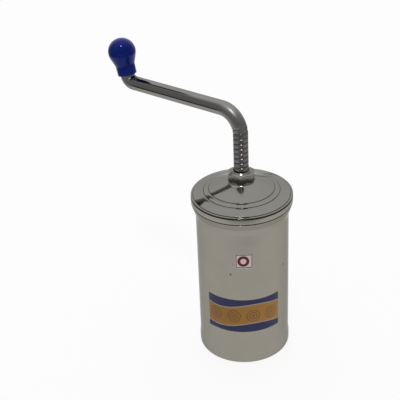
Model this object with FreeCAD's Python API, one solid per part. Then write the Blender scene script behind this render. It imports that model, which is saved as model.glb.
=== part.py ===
"""Hand-cranked sevai press: a steel barrel with a die at its foot, a screw-on lid, and a bent
screw crank that drives a pressing cup down the barrel.

Millimetres, +Z up. The origin is on the barrel's axis, on the surface that the press stands on.
The crank is drawn part way down its travel, with the pressing cup in the middle of the barrel.
"""
import FreeCAD, Part
import math
import os

from FreeCAD import Vector

# ---- barrel ----
BARREL_DIAMETER = 90.0
BARREL_SHEET = 1.0
MOUTH_STAND = 4.05             # how far the mouth band stands out from the straight wall
STRAIGHT_HEIGHT = 151.0        # foot to the start of the flare
FLARE_HEIGHT = 12.9
MOUTH_BAND_HEIGHT = 6.0        # the upright band above the flare
FOOT_SWELL = 0.6               # how far the foot stands out from the straight wall
FOOT_SWELL_HEIGHT = 9.0
FOOT_TAPER_HEIGHT = 7.0
FOOT_CORNER = 2.2
LIP_WIDTH = 4.0                # the inward ledge that carries the die
FLARE_BEND = 8.0
FOOT_BEND = 20.0
BAND_BEND = 1.2

# ---- threaded ring in the barrel's mouth ----
MOUTH_RING_WALL = 2.45         # at the band
MOUTH_RING_HEIGHT = 11.0

# ---- die ----
DIE_THICKNESS = 1.5
DIE_CLEARANCE = 0.4
DIE_HOLE_DIAMETER = 2.0
DIE_HOLE_PITCH = 6.4
DIE_HOLE_MARGIN = 5.0          # plain metal between the outer holes and the rim
DIE_RIM_WIDTH = 3.0            # raised rim round the plate
DIE_RIM_RISE = 0.8
DIE_RIM_ROUND = 0.5
DIE_FOOT_ROUND = 0.5           # clears the bend inside the barrel's foot

# ---- lid ----
LID_SHEET = 1.2
LID_SEAT_GAP = 0.1
LID_EDGE_INSET = 0.1           # inside the mouth band
LID_EDGE_ROUND = 0.75          # on top
LID_EDGE_FOOT_ROUND = 0.35
FLANGE_WIDTH = 2.05            # flat edge that rests on the mouth band
EDGE_RISER = (0.2, 0.5)        # run and rise of the short riser inside the flange
SHOULDER_WIDTH = 10.2          # from the flange to the outer spun line
SHOULDER_RISE = 4.05
STEP_WIDTH = 4.95              # between the spun lines
STEP_RISE = 1.9
CROWN_RISE = 7.15
SPUN_VALLEY = (1.4, 0.12)      # width and rise of the shallow valley outside each spun line
SPUN_VALLEY_ROUND = 1.0
SPUN_RISER_RUN = 0.25
SPUN_RISER_ROUND = 0.2
CROWN_FLAT_RADIUS = 14.8
CROWN_BEND = 3.0
SKIRT_CLEARANCE = 0.3
SKIRT_WALL = 1.3
SKIRT_LENGTH = 11.0
SKIRT_EDGE_ROUND = 0.4

# ---- nut at the centre of the lid ----
NUT_ACROSS_FLATS = 23.9
NUT_TURN = 22.5                # degrees from +X to a corner
NUT_FOOT_HEIGHT = 4.2          # coned foot, which cuts the corners only
NUT_FOOT_TAPER = 1.4           # less in radius at the lid than at the corners
NUT_SIDE_HEIGHT = 3.8          # full corners, between the two cones
NUT_CROWN_HEIGHT = 4.1
NUT_CROWN_TOP_RADIUS = 8.8
NUT_SHOULDER_ROUND = 1.2
NUT_TOP_ROUND = 1.2
NUT_BORE_CHAMFER = 0.6
NUT_SHANK_RADIUS = 10.0
NUT_SHANK_LENGTH = 6.0         # below the lid's sheet
BACKING_RING_RADIUS = 14.0
BACKING_RING_THICKNESS = 2.0
THREAD_CLEARANCE = 0.1

# ---- crank: one bent tube ----
TUBE_DIAMETER = 14.2
TUBE_WALL = 1.6
SCREW_SHOWING = 36.6           # screw between the nut and the elbow
ELBOW_RADIUS = 21.2            # to the tube's centreline
ARM_LENGTH = 142.0             # screw axis to knob axis
ARM_DROOP = 2.0                # degrees below level
CRANK_AZIMUTH = 138.0          # degrees from +X, as drawn
KNOB_BEND_RADIUS = 8.5
KNOB_LEAN = 13.0               # degrees outward from upright

# ---- pressing cup and its swivel ----
CUP_HEIGHT_AS_DRAWN = 48.0     # underside of the cup above the ground
CUP_CLEARANCE = 0.6
CUP_SHEET = 1.2
CUP_RIM_HEIGHT = 12.0
CUP_CORNER = 3.0
HUB_FLANGE_RADIUS = 17.0
HUB_FLANGE_THICKNESS = 1.6
HUB_WALL = 2.6
HUB_HEIGHT = 11.0
HUB_FILLET = 1.5
HUB_EDGE_ROUND = 0.6
RUNNING_CLEARANCE = 0.08
SWIVEL_PLAY = 0.1              # end play at each face of the swivel
THRUST_WASHER_THICKNESS = 1.0
THRUST_WASHER_INSET = 0.4      # inside the tube's outside
SWIVEL_BOLT_RADIUS = 3.0
SWIVEL_BOLT_ENGAGEMENT = 12.0
SWIVEL_HEAD_RADIUS = 8.0
SWIVEL_HEAD_HEIGHT = 2.6
SWIVEL_HEAD_FLAT = 0.55        # flat of the dome, as a share of the head
SWIVEL_HEAD_ROUND = 3.0
SWIVEL_HEAD_EDGE = 0.8         # upright edge under the dome
SWIVEL_EDGE_ROUND = 0.6
SWIVEL_SLOT_WIDTH = 1.4
SWIVEL_SLOT_DEPTH = 1.0
END_PLUG_LENGTH = 15.0
TAP_RUNOUT = 1.0               # tapped hole beyond the bolt's end

# ---- knob ----
KNOB_BALL_DIAMETER = 27.6
KNOB_NECK_DIAMETER = 19.0
KNOB_NECK_SWELL = 0.5          # growth of the neck's diameter towards the ball
KNOB_NECK_LENGTH = 10.0        # mouth to the foot of the cone under the ball
KNOB_LENGTH = 36.9
KNOB_END_GAP = 0.9             # from the end of the bend to the knob's mouth
KNOB_MOUTH_CHAMFER = 0.9
KNOB_MOUTH_EDGE = (0.5, 0.6)   # bevel round the neck's end: across and up
KNOB_NECK_FILLET = 8.0         # between the neck and the cone
KNOB_BORE_DEPTH = 26.0
STUB_END_GAP = 1.2             # from the tube's end to the bottom of the bore
SNAP_RING_WIDTH = 1.2
SNAP_RING_DEPTH = 0.8          # groove in the tube
SNAP_RING_STAND = 0.9          # how far the ring stands out of the tube
SNAP_RING_SETBACK = 3.0        # from the tube's end
SNAP_RING_OPENING = 70.0       # degrees
SNAP_GROOVE_CLEARANCE = 0.35

# ---- printed labels on the barrel ----
LABEL_THICKNESS = 0.12
LABEL_FILM = 0.02              # adhesive
FRONT_LABEL_AZIMUTHS = (-142.0, -45.0)
FRONT_LABEL_HEIGHTS = (38.5, 76.5)
SIZE_STICKER_AZIMUTHS = (-102.5, -80.8)
SIZE_STICKER_HEIGHTS = (113.8, 129.8)

UPRIGHT = 90.0                 # degrees
OVERCUT = 1.0                  # how far a cutting shape runs past what it cuts

# ---- sizes that follow from those above ----
barrel_radius = BARREL_DIAMETER / 2
barrel_bore = barrel_radius - BARREL_SHEET
mouth_radius = barrel_radius + MOUTH_STAND
mouth_ring_bore = mouth_radius - BARREL_SHEET - MOUTH_RING_WALL
band_foot = STRAIGHT_HEIGHT + FLARE_HEIGHT
barrel_height = band_foot + MOUTH_BAND_HEIGHT

lid_foot = barrel_height + LID_SEAT_GAP
skirt_outer = mouth_ring_bore - SKIRT_CLEARANCE
lid_edge = mouth_radius - LID_EDGE_INSET
flange_inner = lid_edge - FLANGE_WIDTH
flange_top = lid_foot + LID_SHEET
outer_line = flange_inner - SHOULDER_WIDTH
inner_line = outer_line - STEP_WIDTH
outer_line_height = flange_top + SHOULDER_RISE
inner_line_height = outer_line_height + STEP_RISE
crown_top = inner_line_height + CROWN_RISE
nut_top = crown_top + NUT_FOOT_HEIGHT + NUT_SIDE_HEIGHT + NUT_CROWN_HEIGHT
nut_shank_foot = crown_top - LID_SHEET - NUT_SHANK_LENGTH

tube_radius = TUBE_DIAMETER / 2
tube_bore = tube_radius - TUBE_WALL
screw_bore = tube_radius + THREAD_CLEARANCE
elbow_turn = math.radians(UPRIGHT + ARM_DROOP)
elbow_tangent = ELBOW_RADIUS * math.tan(elbow_turn / 2)
arm_height = nut_top + SCREW_SHOWING + elbow_tangent
knob_turn = math.radians(UPRIGHT - KNOB_LEAN + ARM_DROOP)
knob_tangent = KNOB_BEND_RADIUS * math.tan(knob_turn / 2)

cup_foot = CUP_HEIGHT_AS_DRAWN
cup_floor = cup_foot + CUP_SHEET
screw_end = cup_floor + THRUST_WASHER_THICKNESS + SWIVEL_PLAY

knob_mouth = knob_tangent + KNOB_END_GAP
stub_end = knob_mouth + KNOB_BORE_DEPTH - STUB_END_GAP
snap_ring_low = stub_end - SNAP_RING_SETBACK - SNAP_RING_WIDTH


def rounded_edges(points, closed=True):
    """Lines and arcs in the XZ plane through (radius, height[, corner radius]) points."""
    count = len(points)
    corners = []
    for index, point in enumerate(points):
        here = Vector(point[0], 0, point[1])
        if not closed and index in (0, count - 1):
            corners.append((here, None, here))
            continue
        radius = point[2] if len(point) > 2 else 0.0
        before = Vector(points[index - 1][0], 0, points[index - 1][1])
        after = Vector(points[(index + 1) % count][0], 0, points[(index + 1) % count][1])
        to_before = (before - here).normalize()
        to_after = (after - here).normalize()
        half = to_before.getAngle(to_after) / 2
        if radius < 0.01 or abs(half - math.pi / 2) < 1e-6:
            corners.append((here, None, here))
            continue
        reach = radius / math.tan(half)
        middle = here + (to_before + to_after).normalize() * (radius / math.sin(half) - radius)
        corners.append((here + to_before * reach, middle, here + to_after * reach))
    edges = []
    for index, (start, middle, end) in enumerate(corners):
        if middle is not None:
            edges.append(Part.Arc(start, middle, end).toShape())
        if not closed and index == count - 1:
            break
        following = corners[(index + 1) % count][0]
        if end.distanceToPoint(following) > 1e-6:
            edges.append(Part.LineSegment(end, following).toShape())
    return edges


def revolved(points, start=0.0, sweep=360.0):
    """Solid of revolution about Z of a rounded profile, from one azimuth over a sweep (degrees)."""
    face = Part.Face(Part.Wire(rounded_edges(points)))
    solid = face.revolve(Vector(0, 0, 0), Vector(0, 0, 1), sweep)
    solid.rotate(Vector(0, 0, 0), Vector(0, 0, 1), start)
    return solid


def ring(inner, outer, low, high, **arc):
    """Plain ring, or a sector of one, between two radii and two heights."""
    return revolved([(inner, low), (outer, low), (outer, high), (inner, high)], **arc)


def beside(path, distance):
    """Path at a distance to the left of another, with every corner kept concentric."""
    result = []
    last = len(path) - 1
    for index, point in enumerate(path):
        radius = point[2] if len(point) > 2 else 0.0
        directions = []
        for first, second in ((index - 1, index), (index, index + 1)):
            if first < 0 or second > last:
                continue
            step = Vector(path[second][0] - path[first][0], path[second][1] - path[first][1], 0)
            directions.append(step.normalize())
        normals = [Vector(-d.y, d.x, 0) for d in directions]
        if len(normals) == 1:
            shift, turn = normals[0] * distance, 0.0
        else:
            mitre = normals[0] + normals[1]
            shift = mitre * (2 * distance / mitre.dot(mitre))
            turn = directions[0].cross(directions[1]).z
        if radius > 0:
            radius = radius - distance if turn > 0 else radius + distance
        result.append((point[0] + shift.x, point[1] + shift.y, max(radius, 0.0)))
    return result


def sheet(path, thickness):
    """Closed profile of a sheet that lies to the left of a path."""
    return path + list(reversed(beside(path, thickness)))


def direction(azimuth, elevation):
    """Unit vector at an azimuth from +X and an elevation above level, in degrees."""
    flat = math.cos(math.radians(elevation))
    return Vector(flat * math.cos(math.radians(azimuth)),
                  flat * math.sin(math.radians(azimuth)),
                  math.sin(math.radians(elevation)))


def on_knob_axis(shape):
    """Move a shape drawn about Z at the origin onto the leaning knob's axis."""
    turn = FreeCAD.Rotation(Vector(0, 0, 1), knob_axis)
    shape.Placement = FreeCAD.Placement(knob_root, turn).multiply(shape.Placement)
    return shape


arm_direction = direction(CRANK_AZIMUTH, -ARM_DROOP)
knob_axis = direction(CRANK_AZIMUTH, UPRIGHT - KNOB_LEAN)
elbow_point = Vector(0, 0, arm_height)
knob_root = elbow_point + arm_direction * ARM_LENGTH


def barrel_wall_path():
    """Outside of the barrel's sheet, from the edge of the foot's lip up to the mouth."""
    foot_radius = barrel_radius + FOOT_SWELL
    return [
        (barrel_bore - LIP_WIDTH, 0.0),
        (foot_radius, 0.0, FOOT_CORNER),
        (foot_radius, FOOT_SWELL_HEIGHT, FOOT_BEND),
        (barrel_radius, FOOT_SWELL_HEIGHT + FOOT_TAPER_HEIGHT, FOOT_BEND),
        (barrel_radius, STRAIGHT_HEIGHT, FLARE_BEND),
        (mouth_radius, band_foot, BAND_BEND),
        (mouth_radius, barrel_height),
    ]


def make_barrel():
    """Drawn steel barrel: lip at the foot, straight wall, flare and upright mouth band."""
    return revolved(sheet(barrel_wall_path(), BARREL_SHEET))


def make_mouth_thread_ring():
    """Ring fixed inside the flare and the band, which takes the lid's threaded skirt."""
    low = barrel_height - MOUTH_RING_HEIGHT
    inside = beside(barrel_wall_path(), BARREL_SHEET)
    flare_foot, flare_top = inside[4], inside[5]
    slope = (flare_top[0] - flare_foot[0]) / (flare_top[1] - flare_foot[1])
    return revolved([
        (mouth_ring_bore, low),
        (flare_foot[0] + (low - flare_foot[1]) * slope, low),
        flare_top,
        (flare_top[0], barrel_height),
        (mouth_ring_bore, barrel_height),
    ])


def die_holes(reach):
    """Centres of the die's holes: the rings of a triangular grid that a radius has room for."""
    rings = int(reach / DIE_HOLE_PITCH)
    centres = []
    for row in range(-rings, rings + 1):
        for column in range(-rings, rings + 1):
            if abs(row + column) <= rings:
                centres.append(Vector((column + row / 2) * DIE_HOLE_PITCH,
                                      row * DIE_HOLE_PITCH * math.sin(math.pi / 3), 0))
    return centres


def make_die_plate():
    """Sevai die: a disc pierced with fine holes, with a raised rim, on the foot's lip."""
    radius = barrel_bore - DIE_CLEARANCE
    low = BARREL_SHEET
    top = low + DIE_THICKNESS
    rim_inner = radius - DIE_RIM_WIDTH
    plate = revolved([
        (0, low),
        (radius, low, DIE_FOOT_ROUND),
        (radius, top + DIE_RIM_RISE, DIE_RIM_ROUND),
        (rim_inner, top + DIE_RIM_RISE, DIE_RIM_ROUND),
        (rim_inner, top),
        (0, top),
    ])
    holes = [Part.makeCylinder(DIE_HOLE_DIAMETER / 2, DIE_THICKNESS + 2 * OVERCUT,
                               centre + Vector(0, 0, low - OVERCUT))
             for centre in die_holes(rim_inner - DIE_HOLE_MARGIN)]
    return plate.cut(holes)


def lid_cone_path():
    """Cone of the lid from its flange in to the hole for the nut, without its spun lines."""
    run, rise = EDGE_RISER
    return [
        (flange_inner - run, flange_top + rise),
        (outer_line, outer_line_height),
        (inner_line, inner_line_height),
        (CROWN_FLAT_RADIUS, crown_top),
        (NUT_SHANK_RADIUS, crown_top),
    ]


def lid_top_path():
    """Top of the lid's sheet: the cone with a shallow valley and a small riser at each spun line."""
    edge, *lines, flat, hole = lid_cone_path()
    path = [(flange_inner, flange_top), edge]
    valley_width, valley_rise = SPUN_VALLEY
    before = edge
    for radius, height in lines:
        slope = (height - before[1]) / (before[0] - radius)
        valley = height - slope * valley_width
        path += [
            (radius + valley_width, valley, SPUN_VALLEY_ROUND),
            (radius, valley + valley_rise),
            (radius - SPUN_RISER_RUN, height + slope * SPUN_RISER_RUN, SPUN_RISER_ROUND),
        ]
        before = (radius, height)
    return path + [(*flat, CROWN_BEND), hole]


def make_lid_dome():
    """Pressed lid: flange on the barrel's mouth, a short riser and a cone up to the flat crown."""
    top = lid_top_path()
    under = beside(lid_cone_path(), LID_SHEET)
    seat_inner = skirt_outer - SKIRT_WALL
    flange = [
        (seat_inner, lid_foot),
        (lid_edge, lid_foot, LID_EDGE_FOOT_ROUND),
        (lid_edge, flange_top, LID_EDGE_ROUND),
    ]
    slope = (under[1][1] - under[0][1]) / (under[1][0] - under[0][0])
    crossing = (seat_inner, under[0][1] + slope * (seat_inner - under[0][0]))
    return revolved(flange + top + list(reversed(under[1:])) + [crossing])


def make_lid_thread_skirt():
    """Threaded ring fixed under the lid, which screws into the barrel's mouth."""
    return revolved([
        (skirt_outer - SKIRT_WALL, lid_foot - SKIRT_LENGTH),
        (skirt_outer, lid_foot - SKIRT_LENGTH, SKIRT_EDGE_ROUND),
        (skirt_outer, lid_foot),
        (skirt_outer - SKIRT_WALL, lid_foot),
    ])


def make_lid_nut():
    """Hexagonal nut, coned at both ends; its shank passes through the lid."""
    corner = NUT_ACROSS_FLATS / 2 / math.cos(math.pi / 6)
    corners = [direction(NUT_TURN + 60 * k, 0) * corner + Vector(0, 0, crown_top) for k in range(7)]
    prism = Part.Face(Part.makePolygon(corners)).extrude(Vector(0, 0, nut_top - crown_top))
    cones = revolved([
        (0, crown_top),
        (corner - NUT_FOOT_TAPER, crown_top),
        (corner, crown_top + NUT_FOOT_HEIGHT),
        (corner, nut_top - NUT_CROWN_HEIGHT, NUT_SHOULDER_ROUND),
        (NUT_CROWN_TOP_RADIUS, nut_top, NUT_TOP_ROUND),
        (0, nut_top),
    ])
    shank = ring(0, NUT_SHANK_RADIUS, nut_shank_foot, crown_top)
    bore = revolved([
        (0, nut_shank_foot - OVERCUT),
        (screw_bore, nut_shank_foot - OVERCUT),
        (screw_bore, nut_top - NUT_BORE_CHAMFER),
        (screw_bore + NUT_BORE_CHAMFER, nut_top),
        (screw_bore + NUT_BORE_CHAMFER, nut_top + OVERCUT),
        (0, nut_top + OVERCUT),
    ])
    return prism.common(cones).fuse(shank).removeSplitter().cut(bore)


def make_nut_backing_ring():
    """Ring on the nut's shank, which clamps the lid's sheet from below."""
    top = crown_top - LID_SHEET
    return ring(NUT_SHANK_RADIUS, BACKING_RING_RADIUS, top - BACKING_RING_THICKNESS, top)


def tube_centreline():
    """Crank's centreline: screw, elbow, arm, knob bend and stub, with tangent arcs."""
    up = Vector(0, 0, 1)
    legs = [Vector(0, 0, screw_end)]
    edges = []
    for corner, arriving, leaving, tangent, radius in (
            (elbow_point, up, arm_direction, elbow_tangent, ELBOW_RADIUS),
            (knob_root, arm_direction, knob_axis, knob_tangent, KNOB_BEND_RADIUS)):
        start = corner - arriving * tangent
        end = corner + leaving * tangent
        inward = (leaving - arriving).normalize()
        depth = math.hypot(radius, tangent) - radius
        edges.append(Part.LineSegment(legs[-1], start).toShape())
        edges.append(Part.Arc(start, corner + inward * depth, end).toShape())
        legs.append(end)
    edges.append(Part.LineSegment(legs[-1], knob_root + knob_axis * stub_end).toShape())
    return Part.Wire(edges)


def swept(radius):
    """Round bar of one radius along the whole crank."""
    section = Part.Wire(Part.makeCircle(radius, Vector(0, 0, screw_end), Vector(0, 0, 1)))
    return tube_centreline().makePipeShell([section], True, False)


def make_crank_tube():
    """Bent tube: threaded screw at one end, arm, and the stub that the knob turns on."""
    tube = swept(tube_radius).cut(swept(tube_bore))
    groove = on_knob_axis(ring(tube_radius - SNAP_RING_DEPTH, tube_radius + OVERCUT,
                               snap_ring_low, snap_ring_low + SNAP_RING_WIDTH))
    return tube.cut(groove)


def make_screw_end_plug():
    """Steel plug pressed into the foot of the screw, tapped for the swivel bolt."""
    bore_top = screw_end + SWIVEL_BOLT_ENGAGEMENT + TAP_RUNOUT
    return revolved([
        (SWIVEL_BOLT_RADIUS, screw_end),
        (tube_bore, screw_end),
        (tube_bore, screw_end + END_PLUG_LENGTH),
        (0, screw_end + END_PLUG_LENGTH),
        (0, bore_top),
        (SWIVEL_BOLT_RADIUS, bore_top),
    ])


def make_swivel_bolt():
    """Low domed bolt from below: it holds the cup on the screw and turns with the screw."""
    head_top = cup_foot - SWIVEL_PLAY
    head_low = head_top - SWIVEL_HEAD_HEIGHT
    bolt = revolved([
        (0, head_low),
        (SWIVEL_HEAD_RADIUS * SWIVEL_HEAD_FLAT, head_low, SWIVEL_HEAD_ROUND),
        (SWIVEL_HEAD_RADIUS, head_top - SWIVEL_HEAD_EDGE, SWIVEL_EDGE_ROUND),
        (SWIVEL_HEAD_RADIUS, head_top),
        (SWIVEL_BOLT_RADIUS, head_top),
        (SWIVEL_BOLT_RADIUS, screw_end + SWIVEL_BOLT_ENGAGEMENT),
        (0, screw_end + SWIVEL_BOLT_ENGAGEMENT),
    ])
    slot = Part.makeBox(2 * SWIVEL_HEAD_RADIUS, SWIVEL_SLOT_WIDTH, SWIVEL_SLOT_DEPTH,
                        Vector(-SWIVEL_HEAD_RADIUS, -SWIVEL_SLOT_WIDTH / 2, head_low))
    return bolt.cut(slot)


def make_thrust_washer():
    """Washer between the screw's end and the floor of the cup."""
    return ring(SWIVEL_BOLT_RADIUS + RUNNING_CLEARANCE, tube_radius - THRUST_WASHER_INSET,
                cup_floor, cup_floor + THRUST_WASHER_THICKNESS)


def make_pressing_cup():
    """Pressing cup: a disc that fills the barrel, with an upright rim that keeps it square."""
    radius = barrel_bore - CUP_CLEARANCE
    wall = [
        (SWIVEL_BOLT_RADIUS + RUNNING_CLEARANCE, cup_foot),
        (radius, cup_foot, CUP_CORNER),
        (radius, cup_foot + CUP_RIM_HEIGHT),
    ]
    return revolved(sheet(wall, CUP_SHEET))


def make_cup_hub():
    """Flanged socket fixed in the cup, in which the screw's end turns."""
    bore = tube_radius + RUNNING_CLEARANCE
    flange_top = cup_floor + HUB_FLANGE_THICKNESS
    return revolved([
        (bore, cup_floor),
        (HUB_FLANGE_RADIUS, cup_floor),
        (HUB_FLANGE_RADIUS, flange_top, HUB_EDGE_ROUND),
        (bore + HUB_WALL, flange_top, HUB_FILLET),
        (bore + HUB_WALL, cup_floor + HUB_HEIGHT, HUB_EDGE_ROUND),
        (bore, cup_floor + HUB_HEIGHT),
    ])


def make_knob():
    """Moulded ball knob on a long neck, bored for the stub and grooved for its snap ring."""
    ball = KNOB_BALL_DIAMETER / 2
    neck_end = KNOB_NECK_DIAMETER / 2
    neck_top = neck_end + KNOB_NECK_SWELL / 2
    centre = KNOB_LENGTH - ball
    bore = tube_radius + RUNNING_CLEARANCE
    drop = Vector(neck_top, KNOB_NECK_LENGTH - centre, 0)
    latitude = math.atan2(drop.y, drop.x) + math.acos(ball / drop.Length)
    cone_top = Vector(ball * math.cos(latitude), 0, centre + ball * math.sin(latitude))
    top = Vector(0, 0, KNOB_LENGTH)
    bevel_across, bevel_up = KNOB_MOUTH_EDGE
    edges = rounded_edges([
        (0, 0),
        (neck_end - bevel_across, 0),
        (neck_end, bevel_up),
        (neck_top, KNOB_NECK_LENGTH, KNOB_NECK_FILLET),
        (cone_top.x, cone_top.z),
    ], closed=False)
    edges += [Part.Arc(cone_top, Vector(ball, 0, centre), top).toShape(),
              Part.LineSegment(top, Vector(0, 0, 0)).toShape()]
    body = Part.Face(Part.Wire(edges)).revolve(Vector(0, 0, 0), Vector(0, 0, 1), 360)
    groove_low = snap_ring_low - knob_mouth - SNAP_GROOVE_CLEARANCE
    groove_high = groove_low + SNAP_RING_WIDTH + 2 * SNAP_GROOVE_CLEARANCE
    hollow = revolved([
        (0, -OVERCUT),
        (bore + KNOB_MOUTH_CHAMFER, -OVERCUT),
        (bore + KNOB_MOUTH_CHAMFER, 0),
        (bore, 2 * KNOB_MOUTH_CHAMFER),
        (bore, KNOB_BORE_DEPTH),
        (0, KNOB_BORE_DEPTH),
    ])
    groove_radius = tube_radius + SNAP_RING_STAND + SNAP_GROOVE_CLEARANCE
    groove = ring(bore - OVERCUT, groove_radius, groove_low, groove_high)
    knob = body.cut(hollow.fuse(groove))
    knob.translate(Vector(0, 0, knob_mouth))
    return on_knob_axis(knob)


def make_knob_snap_ring():
    """Open spring ring in the tube's groove: it keeps the knob on and lets it spin."""
    return on_knob_axis(ring(tube_radius - SNAP_RING_DEPTH, tube_radius + SNAP_RING_STAND,
                             snap_ring_low, snap_ring_low + SNAP_RING_WIDTH,
                             start=SNAP_RING_OPENING / 2, sweep=360 - SNAP_RING_OPENING))


def make_label(azimuths, heights):
    """Thin printed label that follows the barrel's wall between two azimuths and heights."""
    inner = barrel_radius + LABEL_FILM
    return ring(inner, inner + LABEL_THICKNESS, heights[0], heights[1],
                start=azimuths[0], sweep=azimuths[1] - azimuths[0])


SUB_PARTS = {
    "barrel": make_barrel,
    "mouth_thread_ring": make_mouth_thread_ring,
    "die_plate": make_die_plate,
    "front_label": lambda: make_label(FRONT_LABEL_AZIMUTHS, FRONT_LABEL_HEIGHTS),
    "size_sticker": lambda: make_label(SIZE_STICKER_AZIMUTHS, SIZE_STICKER_HEIGHTS),
    "lid_dome": make_lid_dome,
    "lid_thread_skirt": make_lid_thread_skirt,
    "lid_nut": make_lid_nut,
    "nut_backing_ring": make_nut_backing_ring,
    "pressing_cup": make_pressing_cup,
    "cup_hub": make_cup_hub,
    "thrust_washer": make_thrust_washer,
    "crank_tube": make_crank_tube,
    "screw_end_plug": make_screw_end_plug,
    "swivel_bolt": make_swivel_bolt,
    "knob_snap_ring": make_knob_snap_ring,
    "knob": make_knob,
}


def main():
    """Build every sub-part and write it as a STEP file of its own."""
    os.makedirs("parts", exist_ok=True)
    for node, make in SUB_PARTS.items():
        shape = make()
        if not shape.isValid():
            raise RuntimeError(node + " is not a valid solid")
        shape.exportStep("parts/" + node + ".step")
        print(node, len(shape.Solids), "solid(s)", round(shape.Volume, 1), "mm3")
    print("knob axis passes", [round(c, 2) for c in knob_root], "along", [round(c, 4) for c in knob_axis])
    print("crank top", round(arm_height, 2), "barrel top", round(barrel_height, 2), "nut", round(nut_top, 2))


main()
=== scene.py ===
"""Looks of a hand-cranked sevai press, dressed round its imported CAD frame.

Sizes in the classes are in millimetres, +Z up, with the origin on the barrel's axis at the surface that
the press stands on. Meshes are written in metres, in the frame's own place.
"""

import logging
import math
from dataclasses import dataclass, field, replace
from enum import Enum
from typing import Any, Callable, Optional, Sequence

import bmesh
import bpy
import numpy as np
from mathutils import Matrix, Vector


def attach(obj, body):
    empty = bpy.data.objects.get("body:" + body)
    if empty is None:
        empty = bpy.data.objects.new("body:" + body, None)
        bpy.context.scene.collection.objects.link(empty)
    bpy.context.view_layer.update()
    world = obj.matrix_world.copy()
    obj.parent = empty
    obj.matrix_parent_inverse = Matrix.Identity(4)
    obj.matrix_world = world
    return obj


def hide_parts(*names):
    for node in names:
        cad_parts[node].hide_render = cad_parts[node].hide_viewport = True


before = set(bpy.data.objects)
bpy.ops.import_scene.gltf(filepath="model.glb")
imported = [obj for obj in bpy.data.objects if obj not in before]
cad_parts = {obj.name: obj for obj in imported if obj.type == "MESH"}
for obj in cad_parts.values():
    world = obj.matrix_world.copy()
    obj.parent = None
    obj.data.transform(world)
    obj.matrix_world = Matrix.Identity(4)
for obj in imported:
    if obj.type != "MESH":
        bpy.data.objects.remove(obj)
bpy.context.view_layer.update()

MM = 0.001
FULL_TURN = 2 * math.pi
NEARLY_STRAIGHT = 1e-4  # radians by which a straight corner may miss
WELD = 1e-7  # metres within which two points become one
SLIVER = 1e-8  # metres below which an edge is dropped
FINE_TURN = 8.0  # degrees between the points of a small rounding
THREAD_STEP = 0.22  # mm between the points of a threaded wall
THREAD_COLUMNS = 224  # points round a threaded wall
UP = Vector((0, 0, 1))
log = logging.getLogger("sevai_press")

Colour = tuple[float, float, float]
Span = tuple[float, float]
Corner = tuple[float, ...]
Points = np.ndarray
Shaping = Callable[[Points, Points, Points], tuple[Points, Points]]


class Grain(Enum):
    """Which way the polishing lines of a metal part run."""

    TURNED = "round the upright axis"
    LAID = "as the mesh's own lay attribute says"


class Slot(Enum):
    """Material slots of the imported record."""

    SATIN = "satin_steel"
    BRIGHT = "bright_steel"
    PLASTIC = "knob_plastic"
    PRINT = "label_print"
    FILM = "sticker_film"


# ---------------------------------------------------------------- outlines and meshes


def rounded(corners: Sequence[Sequence[float]], closed: bool = True, turn: float = 12.0) -> Points:
    """Points along an outline whose corners are rounded.

    Args:
        corners: how far across and up each corner is and, where it is rounded, its radius.
        closed: whether the outline runs back to its first corner.
        turn: most degrees between neighbouring points of a rounded corner.

    Returns:
        The points, one row each.
    """
    count = len(corners)
    points: list[Points] = []
    for index, corner in enumerate(corners):
        here = np.array(corner[:2], float)
        radius = corner[2] if len(corner) > 2 else 0.0
        if radius <= 0 or (not closed and index in (0, count - 1)):
            points.append(here)
            continue
        back = np.array(corners[index - 1][:2], float) - here
        ahead = np.array(corners[(index + 1) % count][:2], float) - here
        back /= np.linalg.norm(back)
        ahead /= np.linalg.norm(ahead)
        half = math.acos(float(np.clip(back @ ahead, -1, 1))) / 2
        if half > math.pi / 2 - NEARLY_STRAIGHT:
            points.append(here)
            continue
        middle = (back + ahead) / np.linalg.norm(back + ahead)
        centre = here + middle * radius / math.sin(half)
        first, last = (here + side * radius / math.tan(half) - centre for side in (back, ahead))
        start = math.atan2(first[1], first[0])
        sweep = (math.atan2(last[1], last[0]) - start + math.pi) % FULL_TURN - math.pi
        steps = max(2, math.ceil(abs(math.degrees(sweep)) / turn))
        for step in range(steps + 1):
            angle = start + sweep * step / steps
            points.append(centre + radius * np.array([math.cos(angle), math.sin(angle)]))
    return np.array(points)


def filled(points: Points, spacing: float) -> Points:
    """The same closed outline with points added, so that no run is longer than a spacing.

    Args:
        points: the outline, one row for each point.
        spacing: the longest run that is left, in mm.

    Returns:
        The new points.
    """
    result: list[Points] = []
    for start, end in zip(points, np.roll(points, -1, axis=0)):
        steps = max(1, math.ceil(np.linalg.norm(end - start) / spacing))
        result += [start + (end - start) * step / steps for step in range(steps)]
    return np.array(result)


def beside(path: Sequence[Sequence[float]], distance: float) -> list[Corner]:
    """Path at a distance to the left of another, with every rounded corner kept concentric.

    Args:
        path: corners of an open path, as rounded() takes them.
        distance: how far to the left, in mm.

    Returns:
        The corners of the new path.
    """
    result: list[Corner] = []
    for index, corner in enumerate(path):
        ways = []
        for first, second in ((index - 1, index), (index, index + 1)):
            if first >= 0 and second < len(path):
                step = np.array(path[second][:2], float) - np.array(path[first][:2], float)
                ways.append(step / np.linalg.norm(step))
        lefts = [np.array([-way[1], way[0]]) for way in ways]
        radius = corner[2] if len(corner) > 2 else 0.0
        if len(lefts) == 1:
            shift, turn = lefts[0] * distance, 0.0
        else:
            mitre = lefts[0] + lefts[1]
            shift = mitre * (2 * distance / (mitre @ mitre))
            turn = ways[0][0] * ways[1][1] - ways[0][1] * ways[1][0]
        if radius > 0:
            radius = radius - distance if turn > 0 else radius + distance
        result.append((corner[0] + shift[0], corner[1] + shift[1], max(radius, 0.0)))
    return result


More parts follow.
